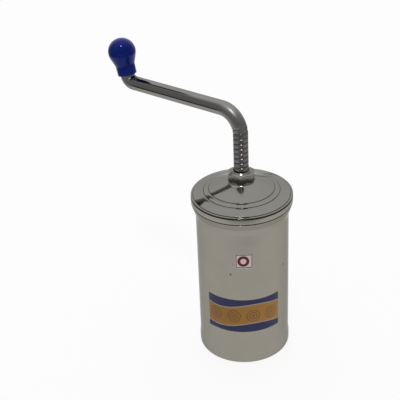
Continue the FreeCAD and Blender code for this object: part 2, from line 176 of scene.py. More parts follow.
def run_to(outline: Points, across: float, up: float) -> float:
    """Distance along an outline to its point nearest a place.

    Args:
        outline: points of the section, across and up.
        across: how far across the place is.
        up: how high it is.

    Returns:
        The distance from the outline's first point, in mm.
    """
    steps = np.linalg.norm(np.diff(outline, axis=0), axis=1)
    nearest = int(np.argmin(np.hypot(outline[:, 0] - across, outline[:, 1] - up)))
    return float(steps[:nearest].sum())


def smooth_step(value: Points, low: float, high: float) -> Points:
    """0 below low, 1 above high and a smooth rise between them."""
    share = np.clip((value - low) / (high - low), 0, 1)
    return share * share * (3 - 2 * share)


def groove(phase: Points, width: float) -> Points:
    """Depth, from 0 to 1, of a round groove in the middle of each unit of a phase."""
    offset = np.abs(phase % 1.0 - 0.5) / (width / 2)
    return np.where(offset < 1, 0.5 * (1 + np.cos(math.pi * np.minimum(offset, 1))), 0.0)


def heading(azimuth: float, elevation: float) -> Vector:
    """Unit vector at an azimuth from +X and an elevation above level, both in degrees."""
    turn, rise = math.radians(azimuth), math.radians(elevation)
    return Vector((math.cos(turn) * math.cos(rise), math.sin(turn) * math.cos(rise), math.sin(rise)))


@dataclass
class Skin:
    """A lattice of points that makes a mesh: every row is one ring or one line of the surface."""

    points: Points
    lay: Points
    rows_meet: bool = True
    columns_meet: bool = True

    def to_object(self, name: str, crease: float = 40.0) -> bpy.types.Object:
        """Make the mesh object, smooth apart from its sharp corners.

        Args:
            name: the piece's name.
            crease: degrees from which an edge stays sharp.

        Returns:
            The object, in the scene.
        """
        rows, columns = self.points.shape[:2]
        index = np.arange(rows * columns).reshape(rows, columns)
        above = np.roll(index, -1, axis=0)
        beyond = np.roll(index, -1, axis=1)
        corner = np.roll(above, -1, axis=1)
        quads = np.stack([index, beyond, corner, above], axis=-1)
        quads = quads[: rows if self.rows_meet else rows - 1, : columns if self.columns_meet else columns - 1]
        mesh = bpy.data.meshes.new(name)
        mesh.from_pydata((self.points.reshape(-1, 3) * MM).tolist(), [], quads.reshape(-1, 4).tolist())
        attribute = mesh.attributes.new("lay", "FLOAT_VECTOR", "POINT")
        attribute.data.foreach_set("vector", self.lay.reshape(-1).astype(np.float32))
        finished = bmesh.new()
        finished.from_mesh(mesh)
        bmesh.ops.remove_doubles(finished, verts=finished.verts, dist=WELD)
        bmesh.ops.dissolve_degenerate(finished, edges=finished.edges, dist=SLIVER)
        bmesh.ops.recalc_face_normals(finished, faces=finished.faces)
        finished.to_mesh(mesh)
        finished.free()
        mesh.shade_smooth()
        mesh.set_sharp_from_angle(angle=math.radians(crease))
        piece = bpy.data.objects.new(name, mesh)
        bpy.context.scene.collection.objects.link(piece)
        return piece


def turned(outline: Points, columns: int, closed: bool = True, shaping: Optional[Shaping] = None) -> Skin:
    """Skin of a body turned about the upright axis.

    Args:
        outline: points of the section, across and up.
        columns: how many points go round.
        closed: whether the section runs back to its first point.
        shaping: changes the points, from how far across, how high and at what angle they are.

    Returns:
        The skin, whose lay is a unit circle round the axis and the distance along the section.
    """
    angles = np.arange(columns) * FULL_TURN / columns
    across, angle = np.meshgrid(outline[:, 0], angles, indexing="ij")
    up = np.repeat(outline[:, 1:2], columns, axis=1)
    run = np.concatenate([[0.0], np.cumsum(np.linalg.norm(np.diff(outline, axis=0), axis=1))])
    if shaping is not None:
        across, up = shaping(across, up, angle)
    points = np.stack([across * np.cos(angle), across * np.sin(angle), up], axis=-1)
    lay = np.stack([np.cos(angle), np.sin(angle), np.repeat(run[:, None], columns, axis=1)], axis=-1)
    return Skin(points, lay, rows_meet=closed)


@dataclass(frozen=True)
class Thread:
    """Right-handed thread cut into an upright wall. A negative depth is for a thread inside a ring."""

    wall: float
    depth: float
    low: float
    high: float
    pitch: float = 2.5
    width: float = 0.6
    fade: float = 1.2
    reach: float = 0.5

    def shape(self, across: Points, up: Points, angle: Points) -> tuple[Points, Points]:
        """Move the points that lie within reach of the wall's radius.

        Args:
            across: how far from the axis each point is.
            up: how high it is.
            angle: its angle round the axis.

        Returns:
            The new distances from the axis, and the heights.
        """
        on_wall = (np.abs(across - self.wall) < self.reach) * smooth_step(up, self.low, self.low + self.fade)
        share = on_wall * (1 - smooth_step(up, self.high - self.fade, self.high))
        return across - self.depth * share * groove(up / self.pitch - angle / FULL_TURN, self.width), up


# ---------------------------------------------------------------- materials


@dataclass(frozen=True)
class Noise:
    """A noise: its scale per metre, how many finer layers it has and how strong they are."""

    scale: float
    detail: float = 3.0
    roughness: float = 0.6


@dataclass
class NodeBench:
    """Puts the nodes of one material or world together."""

    tree: bpy.types.NodeTree

    def join(self, node: bpy.types.Node, **inputs: Any) -> None:
        """Set a node's inputs.

        Args:
            node: the node.
            **inputs: a value or another node's socket for each input, under its name with _ for a
                space, or under in and its number.
        """
        for key, value in inputs.items():
            numbered = key.startswith("in") and key[2:].isdigit()
            socket = node.inputs[int(key[2:]) if numbered else key.replace("_", " ")]
            if isinstance(value, bpy.types.NodeSocket):
                self.tree.links.new(value, socket)
            else:
                socket.default_value = value

    def add(self, kind: str, settings: Optional[dict[str, Any]] = None, **inputs: Any) -> bpy.types.Node:
        """Add a node.

        Args:
            kind: its type's name without the words ShaderNode.
            settings: values of its own options.
            **inputs: its inputs, as join() takes them.

        Returns:
            The node.
        """
        node = self.tree.nodes.new("ShaderNode" + kind)
        for key, value in (settings or {}).items():
            setattr(node, key, value)
        self.join(node, **inputs)
        return node

    def calc(self, operation: str, first: Any, second: Any = 0.0, third: Any = 0.0) -> bpy.types.NodeSocket:
        """Output of a Math node on one to three values or sockets."""
        return self.add("Math", {"operation": operation}, in0=first, in1=second, in2=third).outputs[0]

    def plus(self, first: Any, second: Any) -> bpy.types.NodeSocket:
        """Sum of two values or sockets."""
        return self.calc("ADD", first, second)

    def minus(self, first: Any, second: Any) -> bpy.types.NodeSocket:
        """First less second."""
        return self.calc("SUBTRACT", first, second)

    def times(self, first: Any, second: Any) -> bpy.types.NodeSocket:
        """Product of two values or sockets."""
        return self.calc("MULTIPLY", first, second)

    def off(self, value: Any, middle: float) -> bpy.types.NodeSocket:
        """How far a value is from another, either way."""
        return self.calc("ABSOLUTE", self.minus(value, middle))

    def length(self, first: Any, second: Any) -> bpy.types.NodeSocket:
        """Length of a flat vector, from its two parts."""
        return self.calc("SQRT", self.plus(self.times(first, first), self.times(second, second)))

    def vector(self, operation: str, first: Any, second: Any) -> bpy.types.Node:
        """Vector Math node on two values or sockets."""
        return self.add("VectorMath", {"operation": operation}, in0=first, in1=second)

    def parts(self, vector: Any) -> Sequence[bpy.types.NodeSocket]:
        """The three parts of a vector."""
        return self.add("SeparateXYZ", in0=vector).outputs

    def ramped(self, value: Any, low: float, high: float, start: float = 0.0, end: float = 1.0,
               smooth: bool = True) -> bpy.types.NodeSocket:
        """Carry a value from one range to another, held at both ends.

        Args:
            value: the value's socket.
            low: lower end of its range.
            high: upper end of its range.
            start: what low becomes.
            end: what high becomes.
            smooth: whether the change eases in and out.

        Returns:
            Socket of the new value.
        """
        kind = "SMOOTHSTEP" if smooth else "LINEAR"
        return self.add("MapRange", {"interpolation_type": kind}, in0=value, in1=low, in2=high,
                        in3=start, in4=end).outputs[0]

    def blended(self, share: Any, first: Any, second: Any) -> bpy.types.NodeSocket:
        """Blend two colours.

        Args:
            share: how much of the second there is, from 0 to 1.
            first: three numbers or a socket.
            second: three numbers or a socket.

        Returns:
            Socket of the blend.
        """
        ends = [end if isinstance(end, bpy.types.NodeSocket) else (*end, 1.0) for end in (first, second)]
        return self.add("Mix", {"data_type": "RGBA", "clamp_factor": True},
                        in0=share, in6=ends[0], in7=ends[1]).outputs[2]

    def noise(self, noise: Noise, vector: Any = None) -> bpy.types.NodeSocket:
        """Height of a noise.

        Args:
            noise: the noise.
            vector: coordinates to take it at, where they aren't the shaded point's own place.

        Returns:
            Socket of the height, from 0 to 1.
        """
        place = self.place() if vector is None else vector
        return self.add("TexNoise", Vector=place, Scale=noise.scale, Detail=noise.detail,
                        Roughness=noise.roughness).outputs[0]

    def place(self) -> bpy.types.NodeSocket:
        """Place of the shaded point on the object, in metres."""
        return self.add("TexCoord").outputs["Object"]

    def lay(self) -> bpy.types.NodeSocket:
        """The mesh's own lay attribute at the shaded point."""
        return self.add("Attribute", {"attribute_name": "lay"}).outputs["Vector"]


def scaled(colour: Colour, factor: float) -> Colour:
    """A colour made darker or lighter by a factor."""
    return tuple(channel * factor for channel in colour)


def grey(level: float) -> Colour:
    """Plain grey of a level."""
    return (level,) * 3


@dataclass(frozen=True)
class Finish:
    """A surface finish. Each kind says how its shader is put together."""

    name: str

    def dress(self, bench: NodeBench, shader: bpy.types.Node) -> None:
        """Join the finish's nodes to a Principled shader."""
        raise NotImplementedError

    def material(self) -> bpy.types.Material:
        """Make the material, or give the one already made under this name.

        Returns:
            The material.
        """
        made = bpy.data.materials.get(self.name)
        if made is None:
            made = bpy.data.materials.new(self.name)
            made.use_nodes = True
            self.dress(NodeBench(made.node_tree), made.node_tree.nodes["Principled BSDF"])
        return made


@dataclass(frozen=True)
class Blemish:
    """A small dark mark on a wall, placed by its azimuth in degrees and its height in mm."""

    azimuth: float
    height: float
    radius: float
    strength: float = 0.95
    core: float = 0.4

    def share(self, bench: NodeBench, wall: float) -> bpy.types.NodeSocket:
        """How dark the mark is at the shaded point.

        Args:
            bench: the material's bench.
            wall: radius in mm of the wall that it is on.

        Returns:
            Socket of the share, from 0 to the mark's strength.
        """
        middle = (heading(self.azimuth, 0.0) * wall + UP * self.height) * MM
        away = bench.vector("DISTANCE", bench.place(), middle).outputs["Value"]
        return bench.ramped(away, self.radius * self.core * MM, self.radius * MM, self.strength, 0.0)


@dataclass(frozen=True)
class Zone:
    """A stretch of a surface that differs, between two distances in mm along the tube or the section. Its
    darkening blends the colour toward painted shade, and its roughening makes it rougher.
    """

    start: float
    end: float
    fade: float
    darkening: float = 0.0
    roughening: float = 0.0

    def moved(self, run: float) -> "Zone":
        """The same zone, further along by a run in mm."""
        return replace(self, start=self.start + run, end=self.end + run)

    def share(self, bench: NodeBench) -> bpy.types.NodeSocket:
        """How far the zone counts at the shaded point.

        Args:
            bench: the material's bench.

        Returns:
            Socket of the share, from 0 to 1.
        """
        run = bench.parts(bench.lay())[2]
        rise = bench.ramped(run, self.start - self.fade, self.start + self.fade)
        fall = bench.ramped(run, self.end - self.fade, self.end + self.fade, 1.0, 0.0)
        return bench.times(rise, fall)


@dataclass(frozen=True)
class PaintedReflectionLine(Zone):
    """A thin dark line painted along one side of the tube, at a bearing in degrees: a painted dark reflection.
    """

    bearing: float = 0.0
    spread: float = 7.0
    core: float = 0.45

    def share(self, bench: NodeBench) -> bpy.types.NodeSocket:
        """How far the line counts at the shaded point.

        Args:
            bench: the material's bench.

        Returns:
            Socket of the share, from 0 to 1.
        """
        facing = bench.vector("DOT_PRODUCT", bench.lay(), heading(self.bearing, 0.0)).outputs["Value"]
        outer, inner = (math.cos(math.radians(angle)) for angle in (self.spread, self.spread * self.core))
        return bench.times(bench.ramped(facing, outer, inner), super().share(bench))


@dataclass(frozen=True)
class Steel(Finish):
    """Stainless steel with polishing lines, faint clouding and handling marks."""

    colour: Colour
    roughness: float
    grain: Grain = Grain.TURNED
    lines: Noise = Noise(1500.0, 4.0, 0.65)
    line_levels: Span = (0.25, 0.75)
    line_depth: float = 0.004
    line_strength: float = 0.35
    line_circle: float = 4.0
    line_spread: float = 0.14
    line_share: float = 0.4
    clouds: Noise = Noise(38.0, 4.0)
    cloud_levels: Span = (0.3, 0.7)
    clouding: float = 0.05
    marks: Noise = Noise(95.0, 3.0, 0.55)
    mark_levels: Span = (0.52, 0.75)
    smudge: float = 0.05
    dents: Noise = Noise(800.0)
    ripple: float = 0.0
    anisotropy: float = 0.0
    grain_turn: float = 0.25
    rim_tint: float = 0.6
    wall: float = 45.0
    blemishes: tuple[Blemish, ...] = ()
    pit: Colour = (0.02, 0.017, 0.013)
    zones: tuple[Zone, ...] = ()
    # near-black that the zones blend toward: painted shade and painted dark reflections in creases, gaps and
    # along lines
    painted_shade: Colour = (0.012, 0.010, 0.008)

    def along(self, bench: NodeBench) -> bpy.types.NodeSocket:
        """Coordinates in which the polishing lines lie in flat layers.

        Args:
            bench: the material's bench.

        Returns:
            Socket of the coordinates, with the fast direction in Z, in metres.
        """
        circle = self.line_circle * MM
        if self.grain is Grain.LAID:
            return bench.vector("MULTIPLY", bench.lay(), (circle, circle, MM)).outputs[0]
        parts = bench.parts(bench.place())
        across = bench.length(parts[0], parts[1])
        reach = bench.calc("MAXIMUM", across, MM)
        slow = [bench.times(bench.calc("DIVIDE", part, reach), circle) for part in parts[:2]]
        return bench.add("CombineXYZ", in0=slow[0], in1=slow[1], in2=bench.plus(across, parts[2])).outputs[0]

    def tone(self, bench: NodeBench, lines: bpy.types.NodeSocket) -> bpy.types.NodeSocket:
        """Colour of the clean and the marked metal, without its zones.

        Args:
            bench: the material's bench.
            lines: socket of the polishing lines.

        Returns:
            Socket of the colour.
        """
        clouds = bench.times(bench.noise(self.clouds), 1 - self.line_share)
        cloudy = bench.ramped(bench.plus(bench.times(lines, self.line_share), clouds), *self.cloud_levels,
                              smooth=False)
        dark, light = (scaled(self.colour, 1 + side * self.clouding) for side in (-1, 1))
        colour = bench.blended(cloudy, dark, light)
        for blemish in self.blemishes:
            colour = bench.blended(blemish.share(bench, self.wall), colour, self.pit)
        return colour

    def relief(self, bench: NodeBench, lines: bpy.types.NodeSocket) -> bpy.types.NodeSocket:
        """Bump of the polishing lines and, where the metal is dented, of its dents.

        Args:
            bench: the material's bench.
            lines: socket of the polishing lines.

        Returns:
            Socket of the normal.
        """
        bump = bench.add("Bump", Strength=self.line_strength, Distance=self.line_depth * MM, Height=lines)
        if self.ripple:
            bump = bench.add("Bump", Strength=1.0, Distance=self.ripple * MM, Height=bench.noise(self.dents),
                             Normal=bump.outputs[0])
        return bump.outputs[0]

    def dress(self, bench: NodeBench, shader: bpy.types.Node) -> None:
        """Join colour, roughness and bump of the steel to its shader.

        Args:
            bench: the material's bench.
            shader: its Principled shader.
        """
        lines = bench.noise(self.lines, self.along(bench))
        marks = bench.ramped(bench.noise(self.marks), *self.mark_levels)
        fine, coarse = (self.roughness * (1 + side * self.line_spread) for side in (-1, 1))
        rough = bench.plus(bench.ramped(lines, *self.line_levels, fine, coarse, smooth=False),
                           bench.times(marks, self.smudge))
        colour = self.tone(bench, lines)
        # each zone's darkening paints shade into the colour
        for zone in self.zones:
            share = zone.share(bench)
            colour = bench.blended(bench.times(share, zone.darkening), colour, self.painted_shade)
            rough = bench.calc("MULTIPLY_ADD", share, zone.roughening, rough)
        bench.join(shader, Base_Color=colour, Roughness=rough, Normal=self.relief(bench, lines), Metallic=1.0,
                   Specular_Tint=(*grey(self.rim_tint), 1.0))
        if self.anisotropy:
            tangent = bench.add("Tangent", {"direction_type": "RADIAL", "axis": "Z"})
            bench.join(shader, Anisotropic=self.anisotropy, Anisotropic_Rotation=self.grain_turn,
                       Tangent=tangent.outputs[0])


@dataclass(frozen=True)
class Moulded(Finish):
    """Glossy moulded plastic, a little cloudy in its depth and scuffed where it is held."""

    colour: Colour = (0.0032, 0.011, 0.155)
    pale: Colour = (0.007, 0.024, 0.2)
    gloss_tint: Colour = (0.36, 0.42, 1.0)
    gloss: float = 0.36
    roughness: float = 0.08
    swirl: Noise = Noise(90.0)
    swirl_levels: Span = (0.35, 0.75)
    swirl_depth: float = 0.012
    swirl_strength: float = 0.25
    scuffs: Noise = Noise(420.0, 4.0, 0.7)
    scuff_levels: Span = (0.55, 0.8)
    scuffing: float = 0.1

    def dress(self, bench: NodeBench, shader: bpy.types.Node) -> None:
        """Join colour, roughness and ripple of the plastic to its shader.

        Args:
            bench: the material's bench.
            shader: its Principled shader.
        """
        swirl = bench.noise(self.swirl)
        scuffs = bench.ramped(bench.noise(self.scuffs), *self.scuff_levels)
        cloudy = bench.ramped(swirl, *self.swirl_levels)
        bump = bench.add("Bump", Strength=self.swirl_strength, Distance=self.swirl_depth * MM, Height=swirl)
        bench.join(shader, Base_Color=bench.blended(cloudy, self.colour, self.pale),
                   Roughness=bench.calc("MULTIPLY_ADD", scuffs, self.scuffing, self.roughness),
                   Normal=bump.outputs[0], Specular_IOR_Level=self.gloss,
                   Specular_Tint=(*self.gloss_tint, 1.0))


@dataclass(frozen=True)
class Print(Finish):
    """Printed film: navy bands above and below an amber field with a row of coiled rings.

    Heights are shares of the label's own height.
    """

    width: float = 76.0
    height: float = 38.0
    amber: Colour = (0.31, 0.146, 0.022)
    gold: Colour = (0.4, 0.2, 0.034)
    navy: Colour = (0.023, 0.024, 0.092)
    cream: Colour = (0.36, 0.33, 0.26)
    brown: Colour = (0.10, 0.045, 0.02)
    rings: int = 4
    ring_reach: Span = (0.195, 0.205)
    ring_ink: float = 0.75
    coils: float = 15.0
    coil_line: Span = (0.12, 0.2)
    bands: Span = (0.21, 0.79)
    band_edge: float = 0.004
    band_line: Span = (0.0108, 0.018)
    wave: float = 0.06
    wave_rate: float = 6.2
    wave_start: float = 0.6
    mottle: Noise = Noise(260.0)
    mottle_share: float = 0.3
    gold_levels: Span = (0.2, 1.2)
    wear_and_shade: Noise = Noise(900.0, 3.0, 0.7)
    worn_levels: Span = (0.62, 0.8)
    wear: float = 0.22
    roughness: float = 0.32
    unevenness: float = 0.12
    gloss: float = 0.25

    def coiled(self, bench: NodeBench, along: bpy.types.NodeSocket,
               up: bpy.types.NodeSocket) -> bpy.types.NodeSocket:
        """How much ink the row of coiled rings has.

        Args:
            bench: the material's bench.
            along: socket of the place along the label, from 0 to 1.
            up: socket of the place up the label, from 0 to 1.

        Returns:
            Socket of the share of ink.
        """
        local = bench.minus(bench.calc("FRACT", bench.times(along, float(self.rings))), 0.5)
        reach = bench.length(bench.times(local, self.width / self.height / self.rings), bench.minus(up, 0.5))
        coil = bench.off(bench.calc("FRACT", bench.times(reach, self.coils)), 0.5)
        ink = bench.times(bench.ramped(coil, *self.coil_line, 1.0, 0.0),
                          bench.ramped(reach, *self.ring_reach, 1.0, 0.0))
        return bench.times(ink, self.ring_ink)

    def dress(self, bench: NodeBench, shader: bpy.types.Node) -> None:
        """Draw the bands and the rings from the label's own width and height.

        Args:
            bench: the material's bench.
            shader: its Principled shader.
        """
        along, up = bench.parts(bench.lay())[:2]
        mottle = bench.noise(self.mottle)
        cloudy = bench.ramped(bench.plus(along, bench.times(mottle, self.mottle_share)), *self.gold_levels)
        colour = bench.blended(cloudy, self.amber, self.gold)
        colour = bench.blended(self.coiled(bench, along, up), colour, self.brown)
        wave = bench.calc("SINE", bench.calc("MULTIPLY_ADD", along, self.wave_rate, self.wave_start))
        level = bench.plus(up, bench.times(wave, self.wave))
        for edge, upper in zip(self.bands, (0.0, 1.0)):
            beyond = bench.ramped(level, edge - self.band_edge, edge + self.band_edge, 1.0 - upper, upper)
            colour = bench.blended(beyond, colour, self.navy)
            line = bench.ramped(bench.off(level, edge), *self.band_line, 1.0, 0.0)
            colour = bench.blended(line, colour, self.cream)
        wear_and_shade = bench.ramped(bench.noise(self.wear_and_shade), *self.worn_levels, 0.0, self.wear)
        bench.join(shader, Base_Color=bench.blended(wear_and_shade, colour, self.cream),
                   Roughness=bench.calc("MULTIPLY_ADD", mottle, self.unevenness, self.roughness),
                   Specular_IOR_Level=self.gloss)


@dataclass(frozen=True)
class SizeFilm(Finish):
    """Clear film on steel with a thin red frame and a bold red ring."""

    width: float = 17.0
    height: float = 16.0
    film: Colour = (0.57, 0.5, 0.465)
    cloudy: float = 1.12
    red: Colour = (0.17, 0.003, 0.012)
    frame_tone: Colour = (0.1, 0.045, 0.045)
    frame_inset: float = 1.0
    frame_line: Span = (0.35, 0.6)
    frame_ink: float = 0.9
    ring_centre: Span = (0.46, 0.5)
    ring_reach: Span = (0.33, 0.37)
    ring_middle: float = 0.76
    ring_line: Span = (0.22, 0.27)
    mottle: Noise = Noise(500.0)
    metal: float = 0.55
    roughness: float = 0.25
    unevenness: float = 0.1
    gloss: float = 0.25

    def dress(self, bench: NodeBench, shader: bpy.types.Node) -> None:
        """Draw the frame and the ring from the sticker's own width and height.

        Args:
            bench: the material's bench.
            shader: its Principled shader.
        """
        places = bench.parts(bench.lay())[:2]
        across, over = (bench.calc("DIVIDE", bench.minus(place, centre), reach)
                        for place, centre, reach in zip(places, self.ring_centre, self.ring_reach))
        ring = bench.ramped(bench.off(bench.length(across, over), self.ring_middle), *self.ring_line, 1.0, 0.0)
        inset = [bench.times(bench.minus(0.5, bench.off(place, 0.5)), size)
                 for place, size in zip(places, (self.width, self.height))]
        border = bench.off(bench.calc("MINIMUM", *inset), self.frame_inset)
        line = bench.ramped(border, *self.frame_line, self.frame_ink, 0.0)
        mottle = bench.noise(self.mottle)
        colour = bench.blended(mottle, self.film, scaled(self.film, self.cloudy))
        colour = bench.blended(ring, bench.blended(line, colour, self.frame_tone), self.red)
        bare = bench.ramped(bench.calc("MAXIMUM", ring, line), 0.0, 1.0, self.metal, 0.0)
        bench.join(shader, Base_Color=colour, Metallic=bare,
                   Roughness=bench.calc("MULTIPLY_ADD", mottle, self.unevenness, self.roughness),
                   Specular_IOR_Level=self.gloss)


# ---------------------------------------------------------------- the press's own finishes


SATIN = Steel("satin_spun_steel", (0.299, 0.282, 0.241), roughness=0.2, anisotropy=0.6,
              blemishes=(Blemish(-108.6, 106.0, 1.25), Blemish(-33.5, 103.5, 1.2)))
LID_SATIN = Steel("satin_lid_steel", (0.232, 0.225, 0.205), roughness=0.085, smudge=0.03)
TUBE = Steel("drawn_tube_steel", (0.25, 0.245, 0.235), roughness=0.1, grain=Grain.LAID,
             lines=Noise(700.0, 4.0, 0.65), line_depth=0.002, clouding=0.06, smudge=0.04,
             # the screw's stretch is darker and rougher: its darkening is painted shade for the dark
             # surroundings that the thread reflects
             zones=(Zone(-10.0, 186.0, 4.0, darkening=0.42, roughening=0.14),
                    Zone(184.0, 214.0, 7.0, roughening=0.26),
                    Zone(326.0, 350.0, 4.0, roughening=0.25),
                    # two thin painted dark reflections along the arm
                    PaintedReflectionLine(214.0, 326.0, 6.0, darkening=0.9, bearing=229.5, spread=6.5),
                    PaintedReflectionLine(256.0, 326.0, 10.0, darkening=0.9, bearing=282.0, spread=7.5)))
BRIGHT = Steel("bright_nut_steel", (0.225, 0.212, 0.198), roughness=0.08, clouding=0.1, ripple=0.06)
PLAIN = Steel("plain_turned_steel", (0.33, 0.32, 0.295), roughness=0.34)
BLUE = Moulded("deep_blue_plastic")
LABEL = Print("printed_label")
FILM = SizeFilm("size_film")


# ---------------------------------------------------------------- sub-assemblies


@dataclass
class SubAssembly:
    """One group of pieces. A kind says which pieces it makes and which body they ride on."""

    body: str = "barrel"
    made: list[bpy.types.Object] = field(default_factory=list)

    def fit(self, piece: bpy.types.Object, finish: Finish, slot: Slot, *nodes: str) -> None:
        """Give a piece its finish and its place in the frame.

        Args:
            piece: the new object.
            finish: its surface.
            slot: the record's slot that the piece stands for; not used.
            *nodes: the CAD nodes that it stands for.
        """
        piece.data.materials.append(finish.material())
        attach(piece, self.body)
        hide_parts(*nodes)
        self.made.append(piece)

    def paint(self, finish: Finish, *nodes: str) -> None:
        """Give CAD nodes that keep their own shapes a finish.

        Args:
            finish: their surface.
            *nodes: their names.
        """
        for node in nodes:
            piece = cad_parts[node]
            for slot in piece.material_slots:
                slot.material = finish.material()
            if not piece.material_slots:
                piece.data.materials.append(finish.material())
            self.made.append(piece)

    def build(self) -> None:
        """Make and dress the group's pieces."""
        raise NotImplementedError


@dataclass
class Barrel(SubAssembly):
    """Drawn barrel with its flared mouth, and what is fixed in it.

    The crease's corners and crease_at count from the mouth's radius and the band's foot, and rim_at
    from the mouth's radius and the top. Each wave of the wall has its lobes, depth, start and climb.
    """

    radius: float = 45.0
    sheet: float = 1.0
    mouth: float = 49.05
    straight: float = 151.0
    flare_round: float = 8.0
    band_foot: float = 163.9
    crease: tuple[Corner, ...] = ((-0.1, -0.45, 0.15), (-0.75, -0.2, 0.1), (-0.03, 0.6, 0.3))
    height: float = 169.9
    rim_rounds: Span = (0.8, 0.25)
    foot: float = 45.6
    foot_round: float = 2.2
    lip_inner: float = 40.0
    swell: Span = (9.0, 16.0)
    swell_round: float = 20.0
    ring_bore: float = 45.6
    ring_low: float = 158.9
    ring_edge: float = 0.3
    thread_depth: float = 0.55
    thread_margins: Span = (0.4, 0.3)
    waves: tuple[tuple[float, ...], ...] = ((2, 0.03, 0.6, 40.0), (5, 0.018, 0.0, -23.0))
    wave_foot: Span = (4.0, 20.0)
    wave_top: Span = (140.0, 155.0)
    waist: float = 0.05
    crease_at: Span = (-0.7, -0.2)
    # painted shade in the crease under the band and over the flare below it, and two painted dark reflection
    # lines on the flare
    crease_zones: tuple[Zone, ...] = (
        Zone(-0.4, 0.35, 0.15, darkening=0.75),
        Zone(-7.4, -0.6, 0.6, darkening=0.16),
        Zone(-3.5, -3.0, 0.4, darkening=0.14),
        Zone(-6.3, -5.7, 0.4, darkening=0.12),
    )
    rim_at: Span = (-0.3, -0.3)
    # painted shade in the gap under the lid, on the rim's top round
    rim_zone: Zone = Zone(-0.45, 1.0, 0.2, darkening=0.97)
    columns: int = 288
    spacing: float = 3.0

    def section(self) -> Points:
        """Section of the drawn sheet, up its outside and down its inside.

        Returns:
            The outline's points.
        """
        wall: list[Corner] = [
            (self.lip_inner, 0.0),
            (self.foot, 0.0, self.foot_round),
            (self.foot, self.swell[0], self.swell_round),
            (self.radius, self.swell[1], self.swell_round),
            (self.radius, self.straight, self.flare_round),
        ]
        crease = [(self.mouth + out, self.band_foot + up, bend) for out, up, bend in self.crease]
        rim = crease[-1][0]
        inside = beside([*wall, crease[0], (rim, self.height)], self.sheet)
        inside[-1] = (inside[-1][0], self.height, self.rim_rounds[1])
        outside = [*wall, *crease, (rim, self.height, self.rim_rounds[0])]
        return filled(rounded(outside + inside[::-1], turn=FINE_TURN), self.spacing)

    def wear_and_shade(self, outline: Points) -> Steel:
        """Barrel's steel, with painted shade in the crease under the band, painted dark reflection lines below
        it and painted shade at the rim.

        Args:
            outline: the sheet's section.

        Returns:
            The finish.
        """
        crease = run_to(outline, self.mouth + self.crease_at[0], self.band_foot + self.crease_at[1])
        rim = run_to(outline, self.mouth + self.rim_at[0], self.height + self.rim_at[1])
        zones = [zone.moved(crease) for zone in self.crease_zones]
        return replace(SATIN, zones=(*zones, self.rim_zone.moved(rim)))

    def wavy(self, across: Points, up: Points, angle: Points) -> tuple[Points, Points]:
        """Pull the wall in and out by a few hundredths of a millimetre, as drawing leaves it.

        Args:
            across: how far from the axis each point is.
            up: how high it is.
            angle: its angle round the axis.

        Returns:
            The new distances from the axis, and the heights.
        """
        free = smooth_step(up, *self.wave_foot) * (1 - smooth_step(up, *self.wave_top))
        wave = sum(depth * np.sin(lobes * angle + start + up / climb)
                   for lobes, depth, start, climb in self.waves)
        return across + free * (wave - self.waist), up

    def threaded_ring(self) -> bpy.types.Object:
        """Ring in the mouth with the thread that takes the lid.

        Returns:
            The ring's object.
        """
        inner = self.mouth - self.sheet
        slope = (inner - (self.radius - self.sheet)) / (self.band_foot - self.straight)
        outline = filled(rounded([
            (self.ring_bore, self.ring_low, self.ring_edge),
            (inner - (self.band_foot - self.ring_low) * slope, self.ring_low),
            (inner, self.band_foot),
            (inner, self.height),
            (self.ring_bore, self.height, self.ring_edge),
        ]), THREAD_STEP)
        lead_in, lead_out = self.thread_margins
        thread = Thread(self.ring_bore, -self.thread_depth, self.ring_low + lead_in, self.height - lead_out)
        return turned(outline, THREAD_COLUMNS, shaping=thread.shape).to_object("barrel_mouth_thread")

    def build(self) -> None:
        """Make the shell and the ring, and paint the die."""
        outline = self.section()
        shell = turned(outline, self.columns, shaping=self.wavy).to_object("barrel_shell")
        self.fit(shell, self.wear_and_shade(outline), Slot.SATIN, "barrel")
        self.fit(self.threaded_ring(), PLAIN, Slot.SATIN, "mouth_thread_ring")
        self.paint(PLAIN, "die_plate")


@dataclass(frozen=True)
class Film:
    """A film on the barrel's wall.

    Its turn is the azimuths of its left and right edges in degrees, its rise the heights of its lower
    and upper edges, and its lift how far its lower left corner stands off the wall.
    """

    name: str
    node: str
    turn: Span
    rise: Span
    lift: float
    finish: Finish
    slot: Slot


